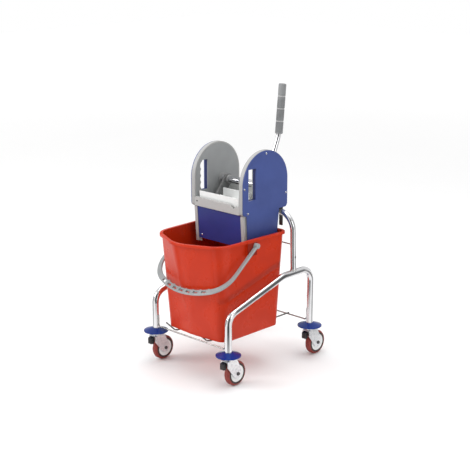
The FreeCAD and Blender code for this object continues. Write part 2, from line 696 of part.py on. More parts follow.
def make_cover(side, outward):
    """Blue cover over the plate's open outer side, with a liner that runs in to the web."""
    sign = "" if outward else "-"
    cover = new_body(f"side_cover_{side}")
    arched_pad(cover, "cover_inset", "cover_thick", outward)
    liner = new_sketch(cover, "YZ_Plane")
    inner = (("liner_front_y", "slot_foot_z - 1"), ("slot_rear_y", "slot_foot_z - 1"),
             ("slot_rear_y", "slot_top_z + 1"), ("liner_front_y", "slot_top_z + 1"))
    outer = (("liner_front_y - 2.5", "slot_foot_z - 3.5"), ("slot_rear_y + 2.5", "slot_foot_z - 3.5"),
             ("slot_rear_y + 2.5", "slot_top_z + 3.5"), ("liner_front_y - 2.5", "slot_top_z + 3.5"))
    outline(liner, outer)
    pad(cover, liner, "plate_deep - web - 0.1", not outward)
    opening = new_sketch(cover, "YZ_Plane", f"{sign}cover_thick")
    outline(opening, inner)
    cut(cover, opening, "plate_deep + cover_thick", not outward)
    for y, z in RIVETS:
        hole = new_sketch(cover, "YZ_Plane")
        circle(hole, y, z, "rivet_r")
        cut(cover, hole, "cover_thick", outward)
    place(cover, f"{sign}cover_x")


def make_wringer_rivets():
    """Rivets that hold the covers on the plates' bosses, all alike, as one group."""
    outer = size("cover_x") + size("cover_thick")
    long = size("rivet_long")
    pieces = []
    for y, z in RIVETS:
        spot = (number(y), number(z))
        head = Part.makeCone(size("rivet_head_r"), size("rivet_crown_r"), size("rivet_head_high"),
                             V(outer, *spot), X_AXIS)
        shank = Part.makeCylinder(size("rivet_r") - size("rivet_play"), long,
                                  V(outer - long, *spot), X_AXIS)
        pieces += both_sides(head.fuse(shank))
    feature("cover_rivets", Part.makeCompound(pieces))


def make_side_plates():
    for side, outward in (("left", False), ("right", True)):
        make_plate(side, outward)
        make_cover(side, outward)


# ---------------------------------------------------------------- wringer: front, jaws, floor

def leaning(front_y, deep, top_z, foot_z):
    """(y, z) corners of an upright strip that leans back towards its foot like the posts."""
    lean_span = size("shoulder_z") - size("foot_z")

    def shift(z_text):
        share = (size("shoulder_z") - number(z_text)) / lean_span
        return f"{share:.4f} * post_lean" if share >= 0 else f"0 - {-share:.4f} * post_lean"

    return ((f"{front_y} + {shift(top_z)}", top_z), (f"{front_y} + {shift(foot_z)}", foot_z),
            (f"{front_y} + {deep} + {shift(foot_z)}", foot_z),
            (f"{front_y} + {deep} + {shift(top_z)}", top_z))


def side_pad(body, profile, start_x, end_x):
    """Pads a (y, z) profile between two x places, on the right and mirrored on the left."""
    for sign, along in (("", True), ("-", False)):
        sketch = new_sketch(body, "YZ_Plane", f"{sign}{start_x}")
        outline(sketch, profile)
        pad(body, sketch, f"{end_x} - {start_x}", along)


def make_front_frame():
    """Cross bar with a notch and two corner posts, moulded in one piece."""
    frame = new_body("front_frame")
    face = new_sketch(frame, "XZ_Plane", "-bar_front_y - bar_thick")
    outline(face, (("-bar_half", "bar_foot_z"), ("bar_half", "bar_foot_z"),
                   ("bar_half", "bar_top_z"), ("notch_x + notch_half", "bar_top_z"),
                   ("notch_x", "notch_z"), ("notch_x - notch_half", "bar_top_z"),
                   ("-bar_half", "bar_top_z")))
    pad(frame, face, "bar_thick")
    strip_y = "post_front_y + post_deep - strip_deep"
    side_pad(frame, leaning(strip_y, "strip_deep", "bar_top_z", "post_foot_z"),
             "strip_x", "bar_half")
    side_pad(frame, (("bar_front_y + 1", "bar_foot_z"), ("cheek_y", "bar_foot_z"),
                     ("cheek_y", "bar_top_z"), ("bar_front_y + 1", "bar_top_z")),
             "strip_x", "bar_half")
    side_pad(frame, leaning("post_front_y", "post_deep", "shoulder_z - 0.6", "post_foot_z"),
             "post_in_x", "post_out_x")


def make_front_panel():
    panel = slab("front_panel", leaning("panel_y", "panel_thick", "panel_top_z", "panel_foot_z"),
                 "2 * panel_half")
    place(panel, "-panel_half")


def make_front_jaw():
    """Fixed white jaw: a leaning plate with drain holes and upright ribs on its inner face."""
    jaw = slab("front_jaw", leaning("jaw_y", "jaw_thick", "jaw_top_z", "jaw_foot_z"),
               "2 * jaw_half")
    columns = 8
    levels = 5
    pitch = 2 * size("jaw_half") / (columns + 1)
    holes = new_sketch(jaw, "XZ_Plane", "-bar_front_y")
    for column in range(columns):
        for level in range(levels):
            circle(holes, str(round(pitch * (column + 1), 3)),
                   f"drain_foot_z + {level} * drain_pitch", "drain_hole_r")
    cut(jaw, holes, "-bar_front_y - 40", False)
    for column in range(columns - 1):
        rib = new_sketch(jaw, "YZ_Plane", f"{round(pitch * (column + 1.5), 3)} - rib_half")
        outline(rib, leaning("jaw_y + jaw_thick - 0.5", "jaw_rib + 0.5",
                             "jaw_top_z - 6", "jaw_foot_z + 6"))
        pad(jaw, rib, "2 * rib_half")
    place(jaw, "-jaw_half")


def make_rear_panel():
    panel = slab("rear_panel", (
        ("rear_panel_y", "floor_z"), ("rear_panel_y + rear_panel_thick", "floor_z"),
        ("rear_panel_y + rear_panel_thick", "rear_panel_top_z"),
        ("rear_panel_y", "rear_panel_top_z")), "2 * plate_x - 1")
    place(panel, "-plate_x + 0.5")


def make_drain_floor():
    """Floor of the wringer, with a row of slots that let the water out."""
    floor = new_body("drain_floor")
    sheet_face = new_sketch(floor, "XY_Plane", "floor_z")
    outline(sheet_face, (("-plate_x + floor_play", "floor_front_y"),
                         ("plate_x - floor_play", "floor_front_y"),
                         ("plate_x - floor_play", "floor_rear_y"),
                         ("-plate_x + floor_play", "floor_rear_y")))
    pad(floor, sheet_face, "floor_thick")
    slot = new_sketch(floor, "XY_Plane", "floor_z")
    start = "-plate_x + floor_margin"
    front = "floor_front_y + floor_margin"
    rear = "floor_rear_y - floor_margin"
    outline(slot, ((start, front), (f"{start} + drain_slot", front),
                   (f"{start} + drain_slot", rear), (start, rear)))
    first = cut(floor, slot, "floor_thick")
    row = floor.newObject("PartDesign::LinearPattern", "drain_slots")
    row.Originals = [first]
    row.Direction = (slot, ["H_Axis"])
    bind(row, "Length", "2 * plate_x - 2 * floor_margin - drain_slot")
    row.Occurrences = 11
    floor.Tip = row
    doc.recompute()


def make_rear_hooks():
    """Black steel tabs under the plates' rear shoulders that drop behind the trolley's hoop."""
    low_x = size("hook_x") - size("hook_half")
    high_x = size("hook_x") + size("hook_half")
    rear_y = size("hook_y") + size("hook_thick")
    top_z = size("shoulder_z") - 0.1
    foot = box((low_x, size("hook_in_y"), size("hook_top_z")), (high_x, rear_y, top_z))
    tab = box((low_x, size("hook_y"), size("hook_tab_z")), (high_x, rear_y, top_z))
    feature("rear_hooks", Part.makeCompound(both_sides(foot.fuse(tab).removeSplitter())))


def make_shaft_bushes():
    """Flanged plastic bushes that carry the shaft in the webs of the side plates."""
    centre = (size("shaft_y"), size("shaft_z"))
    inner = size("bush_flange_x")
    outer = size("plate_x") + size("web")
    flange = Part.makeCylinder(size("bush_flange_r"), size("plate_x") - inner - 0.05,
                               V(inner, *centre), X_AXIS)
    sleeve = Part.makeCylinder(size("bush_r"), outer - inner, V(inner, *centre), X_AXIS)
    bore = Part.makeCylinder(size("bush_bore_r"), outer - inner, V(inner, *centre), X_AXIS)
    feature("shaft_bushes", Part.makeCompound(both_sides(flange.fuse(sleeve).cut(bore))))


# ---------------------------------------------------------------- press: shaft, jaw and lever

def make_shaft():
    """Chromed cross tube that turns in the bushes."""
    outer = cylinder("shaft_outer", "shaft_r", "2 * shaft_half",
                     ("-shaft_half", "shaft_y", "shaft_z"), X_AXIS)
    inner = cylinder("shaft_bore", "shaft_bore_r", "2 * shaft_half",
                     ("-shaft_half", "shaft_y", "shaft_z"), X_AXIS)
    shaft = doc.addObject("Part::Cut", "cross_shaft")
    shaft.Label = "cross_shaft"
    shaft.Base = outer
    shaft.Tool = inner
    NODES.append(shaft)


def make_arms():
    """Crank arms from the shaft down to the jaw rod, one at each side of the moving jaw."""
    for side, outward in (("left", False), ("right", True)):
        sign = "" if outward else "-"
        arm = new_body(f"crank_arm_{side}")
        boss = new_sketch(arm, "YZ_Plane")
        circle(boss, "shaft_y", "shaft_z", "arm_boss_r")
        pad(arm, boss, "arm_thick", outward)
        eye = new_sketch(arm, "YZ_Plane")
        circle(eye, "rod_y", "rod_z", "arm_eye_r")
        pad(arm, eye, "arm_thick", outward)
        link = new_sketch(arm, "YZ_Plane")
        outline(link, (("shaft_y - arm_neck", "shaft_z + arm_neck"),
                       ("rod_y - arm_neck_low", "rod_z + arm_neck_low"),
                       ("rod_y + arm_neck_low", "rod_z - arm_neck_low"),
                       ("shaft_y + arm_neck", "shaft_z - arm_neck")))
        pad(arm, link, "arm_thick", outward)
        bores = new_sketch(arm, "YZ_Plane")
        circle(bores, "shaft_y", "shaft_z", "shaft_r + 0.02")
        circle(bores, "rod_y", "rod_z", "rod_r + 0.02")
        cut(arm, bores, "arm_thick", outward)
        place(arm, f"{sign}arm_x")


def make_rod():
    rod = cylinder("jaw_rod", "rod_r", "2 * rod_half", ("-rod_half", "rod_y", "rod_z"), X_AXIS)
    rod.Label = "jaw_rod"
    NODES.append(rod)


def upright_head():
    """Corners of the jaw's head in the jaw's own tilted (y, z), upright when the jaw rests."""
    tilt = math.radians(size("press_tilt"))
    near = size("jaw_head_y")
    far = near + size("jaw_head_thick")
    corners = ((near, size("jaw_head_foot_z")), (far, size("jaw_head_foot_z")),
               (far, size("jaw_head_top_z")), (near, size("jaw_head_top_z")))
    return [(f"{y * math.cos(tilt) + z * math.sin(tilt):.4f}",
             f"{z * math.cos(tilt) - y * math.sin(tilt):.4f}") for y, z in corners]


def make_moving_jaw():
    """White jaw on the rod: ribbed plate towards the mop, three knuckles and an upright head."""
    jaw = slab("moving_jaw", (
        ("-press_front", "press_up"), ("-press_front + press_thick", "press_up"),
        ("-press_front + press_thick", "-press_down"), ("-press_front", "-press_down")),
        "2 * press_half")
    for start in ("0", "press_half - 0.5 * knuckle_long", "2 * press_half - knuckle_long"):
        knuckle = new_sketch(jaw, "YZ_Plane", start)
        outline(knuckle, (("-press_front + 1", "knuckle_half"), ("rod_r + 3", "knuckle_half - 3"),
                          ("rod_r + 3", "-knuckle_half + 3"), ("-press_front + 1", "-knuckle_half")))
        pad(jaw, knuckle, "knuckle_long")
    ribs = 7
    for index in range(ribs):
        middle = round(2 * size("press_half") * (index + 0.5) / ribs, 3)
        rib = new_sketch(jaw, "YZ_Plane", f"{middle} - rib_half")
        outline(rib, (("-press_front + 0.5", "press_up - 5"),
                      ("-press_front - press_rib", "press_up - 9"),
                      ("-press_front - press_rib", "-press_down + 4"),
                      ("-press_front + 0.5", "-press_down")))
        pad(jaw, rib, "2 * rib_half")
    head = new_sketch(jaw, "YZ_Plane", "press_half - jaw_head_half")
    outline(head, upright_head())
    pad(jaw, head, "2 * jaw_head_half")
    bore = new_sketch(jaw, "YZ_Plane")
    circle(bore, "0", "0", "rod_r + 0.05")
    cut(jaw, bore, "2 * press_half")
    place(jaw, "-press_half", "rod_y", "rod_z", FreeCAD.Rotation(X_AXIS, size("press_tilt")))


def lever_points():
    x = size("lever_x")
    return [V(x, size("shaft_y"), size("shaft_z")), V(x, size("lever_bend_y"), size("lever_bend_z")),
            V(x, size("lever_top_y"), size("lever_top_z"))]


def make_lever_tube():
    """Bent chromed tube, coped where it is welded to the shaft."""
    tube = tube_along(lever_points(), [size("lever_bend")], size("lever_r"), size("lever_bore_r"))
    shaft = Part.makeCylinder(size("shaft_r"), 2 * size("shaft_half"),
                              V(-size("shaft_half"), size("shaft_y"), size("shaft_z")), X_AXIS)
    feature("lever_tube", tube.cut(shaft))


def make_lever_grip():
    """Sleeve over the end of the lever in four lengths with narrow rings between them."""
    bend, top = lever_points()[1:]
    lean = math.degrees(math.atan2(top.y - bend.y, top.z - bend.z))
    long = size("grip_long")
    ring = size("grip_ring")
    outer = [("lever_r + grip_fit", "0"), ("grip_r - 1", "0"), ("grip_r", "2")]
    for index in (1, 2, 3):
        middle = index * long / 4
        outer += [("grip_r", str(middle - ring / 2)), ("grip_waist_r", str(middle - ring / 2)),
                  ("grip_waist_r", str(middle + ring / 2)), ("grip_r", str(middle + ring / 2))]
    outer += [("grip_r", "grip_long - 3"), ("grip_r - 3", "grip_long"), ("0", "grip_long"),
              ("0", "grip_long - 4"), ("lever_r + grip_fit", "grip_long - 4")]
    grip = turned("lever_grip", outer)
    rise = size("grip_long") - 4.5
    start = top - (top - bend).normalize() * rise
    place(grip, "lever_x", str(round(start.y, 4)), str(round(start.z, 4)),
          FreeCAD.Rotation(X_AXIS, -lean))


# ---------------------------------------------------------------- build, check and write

make_side_tubes()
make_hoop()
make_hoop_wire()
make_base_wires()
make_bucket_rests()
make_bumper_discs()
make_sockets()
make_castors()
make_bucket()
make_bail()
make_side_plates()
make_wringer_rivets()
make_front_frame()
make_front_panel()
make_front_jaw()
make_rear_panel()
make_drain_floor()
make_rear_hooks()
make_shaft_bushes()
make_shaft()
make_arms()
make_rod()
make_moving_jaw()
make_lever_tube()
make_lever_grip()
doc.recompute()

for thing in doc.Objects:
    if "Invalid" in thing.State or "Error" in thing.State:
        raise RuntimeError(f"{thing.Name} did not build: {thing.State}")
for node in NODES:
    if node.Shape.isNull() or not node.Shape.isValid():
        raise RuntimeError(f"{node.Label} has no valid shape")

os.makedirs("parts", exist_ok=True)
for node in NODES:
    node.Shape.exportStep(f"parts/{node.Label}.step")
    low = node.Shape.BoundBox
    print(f"{node.Label:28s} {len(node.Shape.Solids)} solid(s) {node.Shape.Volume / 1000:9.2f} cm3"
          f"  x {low.XMin:7.1f} {low.XMax:7.1f}  y {low.YMin:7.1f} {low.YMax:7.1f}"
          f"  z {low.ZMin:6.1f} {low.ZMax:6.1f}")
print(len(NODES), "nodes")
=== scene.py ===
# %% [markdown]
# # A mop bucket trolley with a jaw wringer
# The trolley is a bent and chromed tube frame on four swivel castors. A red bucket sits between
# its rails, and a wringer with a hand lever hangs on the rear hoop. The exact shapes come from
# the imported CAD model, so this lesson gives them their finishes, adds the small fittings that a
# maker would add last, and lights the whole thing as in a small studio.

# %% Load the frame
import math

import bmesh
import bpy
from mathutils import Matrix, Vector


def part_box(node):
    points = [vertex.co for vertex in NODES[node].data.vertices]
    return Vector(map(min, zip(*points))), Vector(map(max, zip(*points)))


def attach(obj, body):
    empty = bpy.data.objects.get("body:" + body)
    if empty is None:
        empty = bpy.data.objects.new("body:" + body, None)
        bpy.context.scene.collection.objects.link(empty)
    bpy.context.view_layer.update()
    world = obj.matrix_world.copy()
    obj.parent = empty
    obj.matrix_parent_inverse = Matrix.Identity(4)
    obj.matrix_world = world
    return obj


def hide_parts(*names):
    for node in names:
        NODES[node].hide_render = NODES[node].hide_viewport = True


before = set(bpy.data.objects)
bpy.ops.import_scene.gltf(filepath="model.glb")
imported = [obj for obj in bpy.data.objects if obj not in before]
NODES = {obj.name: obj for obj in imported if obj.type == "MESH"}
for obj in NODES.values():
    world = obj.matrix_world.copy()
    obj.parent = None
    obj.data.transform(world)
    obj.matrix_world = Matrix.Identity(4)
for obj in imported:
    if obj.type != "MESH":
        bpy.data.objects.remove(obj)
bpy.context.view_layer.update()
CORNERS = ("front_left", "front_right", "rear_left", "rear_right")

# %% [markdown]
# ## Writing shaders as sums
# A finish is easier to read as a sum than as a web of nodes. `Signal` wraps one socket, and its
# operators add Math nodes. `Finish` starts a material with one Principled shader, and its single
# `node` method adds every other kind of node: first the settings, then the sockets.

# %% The Signal and Finish classes


class Signal:
    """One socket of a finish; sums of signals become Math nodes."""

    def __init__(self, finish, socket):
        self.finish = finish
        self.socket = socket

    def math(self, operation, *values):
        return self.finish.node("ShaderNodeMath", {"operation": operation}, dict(enumerate(values)))

    def __add__(self, other):
        return self.math("ADD", self, other)

    def __radd__(self, other):
        return self.math("ADD", other, self)

    def __sub__(self, other):
        return self.math("SUBTRACT", self, other)

    def __rsub__(self, other):
        return self.math("SUBTRACT", other, self)

    def __mul__(self, other):
        return self.math("MULTIPLY", self, other)

    def __rmul__(self, other):
        return self.math("MULTIPLY", other, self)

    def __truediv__(self, other):
        return self.math("DIVIDE", self, other)

    def __pow__(self, other):
        return self.math("POWER", self, other)

    def __abs__(self):
        return self.math("ABSOLUTE", self)


class Board:
    """A node tree and the one way to add nodes to it."""

    def __init__(self, tree):
        self.tree = tree

    def node(self, kind, settings=None, sockets=None, out=0):
        made = self.tree.nodes.new(kind)
        for word, value in (settings or {}).items():
            if word == "stops":
                self.set_stops(made.color_ramp.elements, value)
            else:
                setattr(made, word, value)
        for word, value in (sockets or {}).items():
            self.join(value, made.inputs[word])
        return Signal(self, made.outputs[out])

    def set_stops(self, elements, stops):
        for spot, (place, shade) in enumerate(stops):
            stop = elements[spot] if spot < 2 else elements.new(place)
            stop.position = place
            stop.color = (*shade, 1)

    def join(self, value, socket):
        if isinstance(value, Signal):
            self.tree.links.new(value.socket, socket)
        else:
            socket.default_value = value

    def axes(self, vector):
        split = self.node("ShaderNodeSeparateXYZ", sockets={0: vector})
        return [Signal(self, socket) for socket in split.socket.node.outputs]

    def span(self, signal, low, high, to_low=0.0, to_high=1.0):
        """Low to high becomes to_low to to_high, and stays at the ends beyond them."""
        return self.node("ShaderNodeMapRange",
                         sockets={0: signal, 1: low, 2: high, 3: to_low, 4: to_high})

    def blend(self, share, one, other):
        """A colour that goes from one to other as share goes from 0 to 1."""
        return self.node("ShaderNodeMix", {"data_type": "RGBA"},
                         {0: share, 6: (*one, 1) if isinstance(one, tuple) else one,
                          7: (*other, 1) if isinstance(other, tuple) else other}, out=2)


class Finish(Board):
    """One material: a Principled shader and the nodes that feed it."""

    def __init__(self, name, **constants):
        self.material = bpy.data.materials.new(name)
        self.material.use_nodes = True
        super().__init__(self.material.node_tree)
        self.shader = self.tree.nodes["Principled BSDF"]
        for word, value in constants.items():
            self.shader.inputs[word.replace("_", " ").title().replace("Ior", "IOR")].default_value = value

    def feed(self, word, signal):
        self.join(signal, self.shader.inputs[word])

    def place(self):
        """The point on the piece, in metres, in the trolley's own frame."""
        return self.node("ShaderNodeTexCoord", out=3)

    def noise(self, size_mm, detail=3.0, at=None):
        """Cloudy noise from 0 to 1 whose blots are about size_mm across."""
        return self.node("ShaderNodeTexNoise",
                         sockets={"Vector": at or self.place(), "Scale": 1000 / size_mm,
                                  "Detail": detail})

    def bump(self, height, depth_mm):
        """Raises the surface by depth_mm where height is 1; calls add up."""
        sockets = {"Distance": depth_mm / 1000, "Height": height}
        if self.shader.inputs["Normal"].is_linked:
            sockets["Normal"] = Signal(self, self.shader.inputs["Normal"].links[0].from_socket)
        self.feed("Normal", self.node("ShaderNodeBump", sockets=sockets))


print("shader classes ready")

# %% [markdown]
# ## Chrome and zinc
# The tubes are bent first and plated afterwards, so the plating is one even mirror. What gives
# it away as metal is small: the polishing wheel leaves faint lines across the tube, and fingers
# leave cloudy patches where it is a little rougher. Zinc on pressed steel is duller, with a
# slight spangle.

# %% Make the metal finishes


def plated(name, bright, dull, smooth, rough, cloud_mm, grain_mm, depth_mm):
    finish = Finish(name, metallic=1.0)
    cloud = finish.noise(cloud_mm)
    grain = finish.noise(grain_mm, detail=1.0)
    finish.feed("Base Color", finish.blend(finish.span(cloud, 0.35, 0.7), bright, dull))
    finish.feed("Roughness", finish.span(cloud * 0.7 + grain * 0.3, 0.3, 0.7, smooth, rough))
    finish.bump(grain, depth_mm)
    return finish.material


CHROME = plated("polished_chrome", (0.86, 0.86, 0.87), (0.76, 0.76, 0.78), 0.07, 0.17, 45, 3, 0.004)
WIRE_CHROME = plated("chromed_wire", (0.52, 0.51, 0.50), (0.38, 0.37, 0.36), 0.16, 0.30, 30, 2, 0.006)
REST_WIRE = plated("rest_wire", (0.26, 0.24, 0.23), (0.15, 0.14, 0.135), 0.22, 0.36, 30, 2, 0.006)
ZINC = plated("bright_zinc", (0.86, 0.87, 0.88), (0.66, 0.67, 0.69), 0.22, 0.42, 9, 1.2, 0.01)
RIVET = plated("rivet_steel", (0.88, 0.88, 0.88), (0.72, 0.72, 0.72), 0.20, 0.36, 4, 0.8, 0.01)
print("metal finishes:", [m.name for m in (CHROME, WIRE_CHROME, ZINC, RIVET)])

# %% [markdown]
# ## Moulded plastic
# A moulded part copies its steel mould: a satin wall, very slight flow clouds in the colour, a
# fine orange-peel texture, and scuffs that are paler and rougher than the wall. One function
# makes every plastic here, and the numbers say how glossy, how grainy and how worn each one is.

# %% Make the plastic finishes


def moulded(name, body, cloudy, smooth, rough, grain_mm, depth_mm, marks_and_shade=None, scuff=0.25,
            shine=0.5):
    """Moulded plastic; the marks function, given (finish, x, y, z), may give a mask and the colour shown
    there: a real mark on some parts, painted shade on others.
    """
    finish = Finish(name, specular_ior_level=shine)
    cloud = finish.noise(70, detail=4.0)
    grain = finish.noise(grain_mm, detail=2.0)
    stretched = finish.node("ShaderNodeMapping", sockets={0: finish.place(), 3: (1.0, 1.0, 0.12)})
    scratches = finish.span(finish.noise(2.5, detail=2.0, at=stretched), 0.66, 0.78)
    scuffs = scratches * finish.span(finish.noise(55, detail=1.0), 0.5, 0.68)
    pale = tuple(0.75 * part + 0.25 * 0.8 for part in body)
    base = finish.blend(finish.span(cloud, 0.3, 0.72), body, cloudy)
    finish.bump(grain, depth_mm)
    if marks_and_shade:
        mask, shade = marks_and_shade(finish, *finish.axes(finish.place()))
        base = finish.blend(mask, base, shade)
    finish.feed("Base Color", finish.blend(scuffs * scuff, base, pale))
    finish.feed("Roughness", finish.span(cloud, 0.3, 0.7, smooth, rough) + scuffs * 0.15)
    return finish.material


# The side rails in metres: the front leg's place, the knee's height, the slope of the rising
# run and the height of the level run. Then the arch of the wringer's side plates.
LEG_Y = 0.193
KNEE_Z = 0.230
RAIL_SLOPE = 0.2976
RAIL_Z = 0.305
ARCH_Y = 0.0275
ARCH_Z = 0.608
LIP_R = 0.0985


def bucket_step_and_painted_shade(finish, x, y, z):
    """The side walls step in above the rail, with a band of painted shade along the step, and the ears
    under the bail are painted a darker red as shade under the rim.
    """
    rising = KNEE_Z + RAIL_SLOPE * (y + LEG_Y)
    rail = rising.math("MINIMUM", rising, RAIL_Z)
    side = finish.span(abs(x), 0.110, 0.120)
    above = finish.span(z - rail, 0.024, 0.042)
    finish.bump(above * side, 3.0)
    # Painted shade: a darker band along the step just above the rail.
    shade = finish.span(z - rail, 0.018, 0.028) * finish.span(z - rail, 0.050, 0.034) * side * 0.35
    # Painted shade: the ears' outer faces below the rim are painted dark red.
    ear_painted_shade = finish.span(abs(x), 0.1478, 0.1488) * finish.span(z, 0.440, 0.437) * 0.85
    # The dark red returned here is the colour of this painted shade.
    return shade + ear_painted_shade, (0.20, 0.014, 0.006)


def plate_lip(finish, x, y, z):
    """A raised lip, paler than the web, runs round the plate just inside its edge."""
    above = (z - ARCH_Z).math("MAXIMUM", z - ARCH_Z, 0.0)
    away = ((y - ARCH_Y) ** 2.0 + above ** 2.0) ** 0.5
    lip = finish.span(away, LIP_R, LIP_R + 0.0007)
    finish.bump(lip, 0.8)
    return lip * finish.span(z, 0.512, 0.516), (0.39, 0.39, 0.385)


def slot_lining(finish, x, y, z):
    """The carry slot's lining is a deeper blue, as it is seen in its own shade."""
    return finish.span(abs(x), 0.1121, 0.1115), (0.012, 0.020, 0.115)


# The bucket's red takes painted shade along the side step and on the ears.
RED = moulded("bucket_red", (0.555, 0.032, 0.005), (0.485, 0.025, 0.004), 0.24, 0.34, 1.6, 0.012,
              marks_and_shade=bucket_step_and_painted_shade, scuff=0.08, shine=0.26)
BLUE = moulded("cover_blue", (0.044, 0.075, 0.27), (0.034, 0.060, 0.225), 0.38, 0.48, 1.2, 0.03,
               marks_and_shade=slot_lining)
DISC_BLUE = moulded("disc_blue", (0.003, 0.030, 0.22), (0.002, 0.022, 0.180), 0.12, 0.20, 1.6, 0.02,
                    scuff=0.05, shine=0.30)
PANEL_BLUE = moulded("panel_blue", (0.030, 0.045, 0.26), (0.022, 0.036, 0.21), 0.36, 0.46, 1.2, 0.03)
GREY = moulded("plate_grey", (0.32, 0.33, 0.335), (0.27, 0.28, 0.285), 0.42, 0.52, 1.0, 0.04,
               marks_and_shade=plate_lip)
FRAME_GREY = moulded("frame_grey", (0.49, 0.485, 0.475), (0.44, 0.435, 0.425), 0.36, 0.46, 1.0, 0.04)
BUSH_GREY = moulded("bush_grey", (0.34, 0.34, 0.34), (0.29, 0.29, 0.29), 0.36, 0.46, 1.0, 0.03)
BAIL_GREY = moulded("bail_grey", (0.34, 0.365, 0.37), (0.26, 0.285, 0.29), 0.18, 0.28, 1.2, 0.03)
WHITE = moulded("jaw_white", (0.86, 0.87, 0.86), (0.80, 0.81, 0.80), 0.34, 0.46, 1.2, 0.02)
BLACK = moulded("fitting_black", (0.014, 0.014, 0.016), (0.009, 0.009, 0.010), 0.40, 0.55, 0.9, 0.04)
GRIP_GREY = moulded("grip_grey", (0.27, 0.275, 0.28), (0.13, 0.135, 0.14), 0.50, 0.68, 1.1, 0.12)
RING_GREY = moulded("ring_grey", (0.50, 0.50, 0.50), (0.42, 0.42, 0.42), 0.40, 0.52, 1.1, 0.04)
print("plastic finishes ready")

# %% [markdown]
# ## Painted steel, tyres and the grip
# The crank arms and hooks are painted. The tyres are pressed on the hubs and are red-brown on
# the tread, with a darker band towards the hub, so their colour depends on the distance from
# the wheel's own axle.

# %% Make the paint, tyre and rubber finishes


def painted(name, body, worn):
    finish = Finish(name, coat_weight=0.3, coat_roughness=0.2)
    chips = finish.span(finish.noise(6, detail=5.0), 0.62, 0.72)
    finish.feed("Base Color", finish.blend(chips * 0.5, body, worn))
    finish.feed("Roughness", finish.span(finish.noise(20), 0.3, 0.7, 0.32, 0.46))
    finish.bump(finish.noise(1.5), 0.015)
    return finish.material


def tyre_finish(name, centre):
    finish = Finish(name)
    _, y, z = finish.axes(finish.place())
    away = ((y - centre.y) ** 2.0 + (z - centre.z) ** 2.0) ** 0.5
    dark_band = finish.span(away, 0.0345, 0.0330)
    speckle = finish.noise(5, detail=4.0)
    tread = finish.blend(finish.span(speckle, 0.35, 0.7), (0.27, 0.030, 0.020), (0.19, 0.020, 0.014))
    finish.feed("Base Color", finish.blend(dark_band, tread, (0.030, 0.016, 0.014)))
    finish.feed("Roughness", finish.span(speckle, 0.3, 0.7, 0.42, 0.62))
    finish.bump(finish.noise(0.8), 0.03)
    return finish.material


BLACK_PAINT = painted("black_paint", (0.016, 0.016, 0.017), (0.10, 0.10, 0.10))
ARM_PAINT = painted("arm_grey_paint", (0.16, 0.16, 0.16), (0.36, 0.36, 0.36))
BOLT_PAINT = painted("bolt_black", (0.05, 0.045, 0.045), (0.20, 0.20, 0.20))
TYRES = {}
for corner in CORNERS:
    low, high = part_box("tyre_" + corner)
    TYRES[corner] = tyre_finish("tyre_red_" + corner, (low + high) / 2)
print("tyre finishes:", len(TYRES))

# %% [markdown]
# ## Giving each CAD part its finish
# A CAD part that already has the right shape keeps it. Only the material in its slots changes.

# %% Assign the finishes
LOOKS = {
    "side_tube_left": CHROME, "side_tube_right": CHROME, "hoop_tube": CHROME,
    "hoop_wire": WIRE_CHROME, "front_wire": WIRE_CHROME, "rear_wire": WIRE_CHROME,
    "bucket_rests": REST_WIRE, "castor_sockets": BLACK, "bucket": RED, "bail": BAIL_GREY,
    "side_plate_left": GREY, "side_plate_right": GREY, "side_cover_left": BLUE,
    "side_cover_right": BLUE, "cover_rivets": RIVET, "front_frame": FRAME_GREY,
    "front_panel": PANEL_BLUE, "front_jaw": WHITE, "rear_panel": WHITE, "drain_floor": GREY,
    "rear_hooks": BLACK_PAINT, "shaft_bushes": BUSH_GREY, "cross_shaft": CHROME,
    # The jaw rod is a real rod, and its black paint also stands as painted shade for the dark gap above
    # the front jaw.
    "crank_arm_left": ARM_PAINT, "crank_arm_right": ARM_PAINT, "jaw_rod": BLACK_PAINT,
    "moving_jaw": WHITE, "lever_tube": CHROME, "lever_grip": GREY,
}
for corner in CORNERS:
    LOOKS["bumper_disc_" + corner] = DISC_BLUE
    LOOKS["castor_stem_" + corner] = ZINC
    LOOKS["fork_" + corner] = ZINC
    LOOKS["fork_buffer_" + corner] = BLACK
    LOOKS["wheel_hub_" + corner] = WHITE
    LOOKS["tyre_" + corner] = TYRES[corner]
    LOOKS["axle_bolt_" + corner] = BOLT_PAINT


def wear(piece, material):
    if not piece.material_slots:
        piece.data.materials.append(material)
    for place in piece.material_slots:
        place.material = material


for name, piece in NODES.items():
    wear(piece, LOOKS[name])
print("finished", len(LOOKS), "CAD parts")

# %% [markdown]
# ## Turned pieces
# Screws, collars, rings and grips are all turned shapes: a profile spun round an axis. One
# helper spins a profile given as pairs of distance along the axis and radius. A ripple lets the
# radius change round the axis, which makes flutes or the uneven edge of a weld.

# %% Spin a profile


def smooth_piece(name, points, faces, material, body):
    """A mesh piece with its finish, riding on a body; flat faces meet at sharp edges."""
    data = bpy.data.meshes.new(name)
    data.from_pydata(points, [], faces)
    data.polygons.foreach_set("use_smooth", [True] * len(data.polygons))
    data.set_sharp_from_angle(angle=math.radians(38))
    piece = bpy.data.objects.new(name, data)
    bpy.context.scene.collection.objects.link(piece)
    wear(piece, material)
    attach(piece, body)
    return piece


